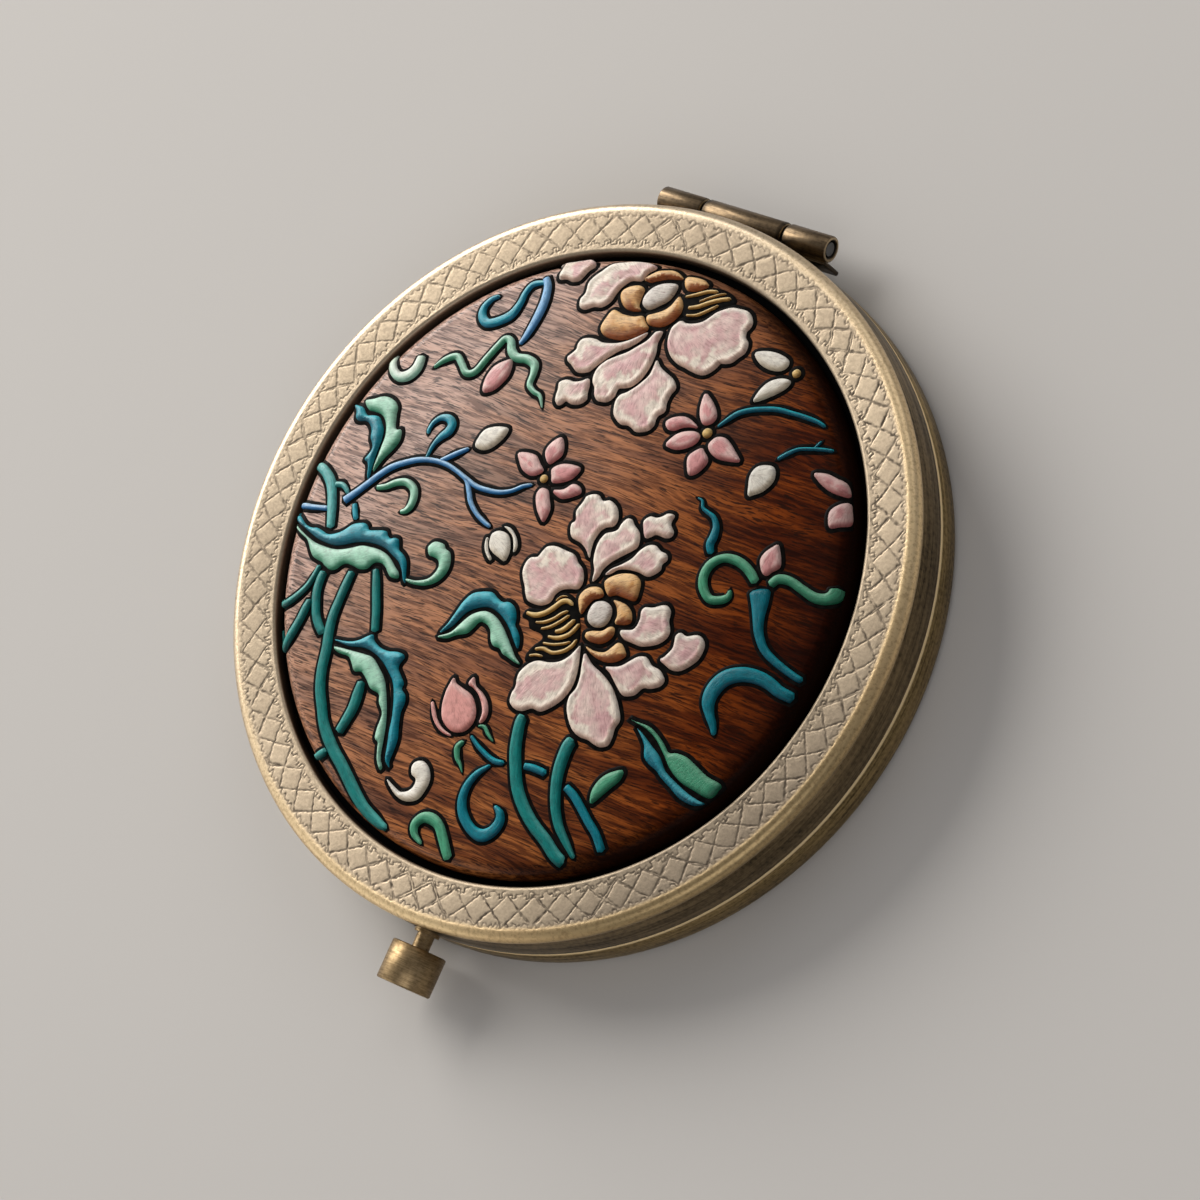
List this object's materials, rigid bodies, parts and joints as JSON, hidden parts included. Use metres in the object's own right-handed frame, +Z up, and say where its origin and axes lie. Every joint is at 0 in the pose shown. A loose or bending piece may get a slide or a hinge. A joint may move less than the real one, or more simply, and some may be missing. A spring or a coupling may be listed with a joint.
{
  "type": "compact mirror",
  "caption": "Round hinged compact mirror with a stamped lattice bezel, a domed wood inlay with raised floral ornament, and a push knob that frees the latch.",
  "frame": {"origin": "centre of the base's flat underside", "axes": "+Z up through the closed lid, +Y towards the hinge, -Y towards the push knob, +X to the right when the knob faces the user"},
  "size_m": [0.07, 0.0777, 0.011],
  "materials": {
    "side_metal": "antique brass, brushed round the case",
    "bezel_metal": "light antique brass, stamped and satin",
    "hinge_metal": "dark antique brass, brushed",
    "knob_metal": "antique brass, turned",
    "ring_metal": "plain satin brass",
    "steel": "plain steel",
    "mirror_glass": "silvered glass",
    "pad": "black foam pad",
    "lacquered_wood": "dark red-brown wood under clear lacquer",
    "petal_enamel": "pink and cream lacquer, satin",
    "centre_enamel": "ochre and gold lacquer, satin",
    "leaf_enamel": "green and teal lacquer, satin",
    "stem_enamel": "blue and teal lacquer, satin"
  },
  "bodies": {
    "base": {"base_shell": "side_metal", "base_mirror_pad": "pad", "base_mirror": "mirror_glass", "base_mirror_ring": "ring_metal", "base_hinge_leaf": "hinge_metal", "hinge_pin": "steel", "stem_bush": "ring_metal", "latch_spring": "steel", "latch_rivets": "ring_metal"},
    "lid": {"lid_shell": "side_metal", "bezel_ring": "bezel_metal", "wood_inlay": "lacquered_wood", "relief_petals": "petal_enamel", "relief_centres": "centre_enamel", "relief_leaves": "leaf_enamel", "relief_stems": "stem_enamel", "lid_mirror_pad": "pad", "lid_mirror": "mirror_glass", "lid_mirror_ring": "ring_metal", "lid_hinge_leaf": "hinge_metal", "lid_hook": "ring_metal", "hook_rivets": "ring_metal"},
    "button": {"button_knob": "knob_metal", "button_stem": "knob_metal"}
  },
  "joints": [
    {"name": "lid_hinge", "type": "hinge", "parent": "base", "child": "lid", "pos_m": [0, 0.036, 0.0038], "axis": [-1, 0, 0], "range_deg": [0, 175]},
    {"name": "button_press", "type": "slide", "parent": "base", "child": "button", "axis": [0, 1, 0], "range_m": [0, 0.0012], "stiffness_N_per_m": 1500, "springref_m": -0.0005, "deforming": ["latch_spring"]}
  ]
}
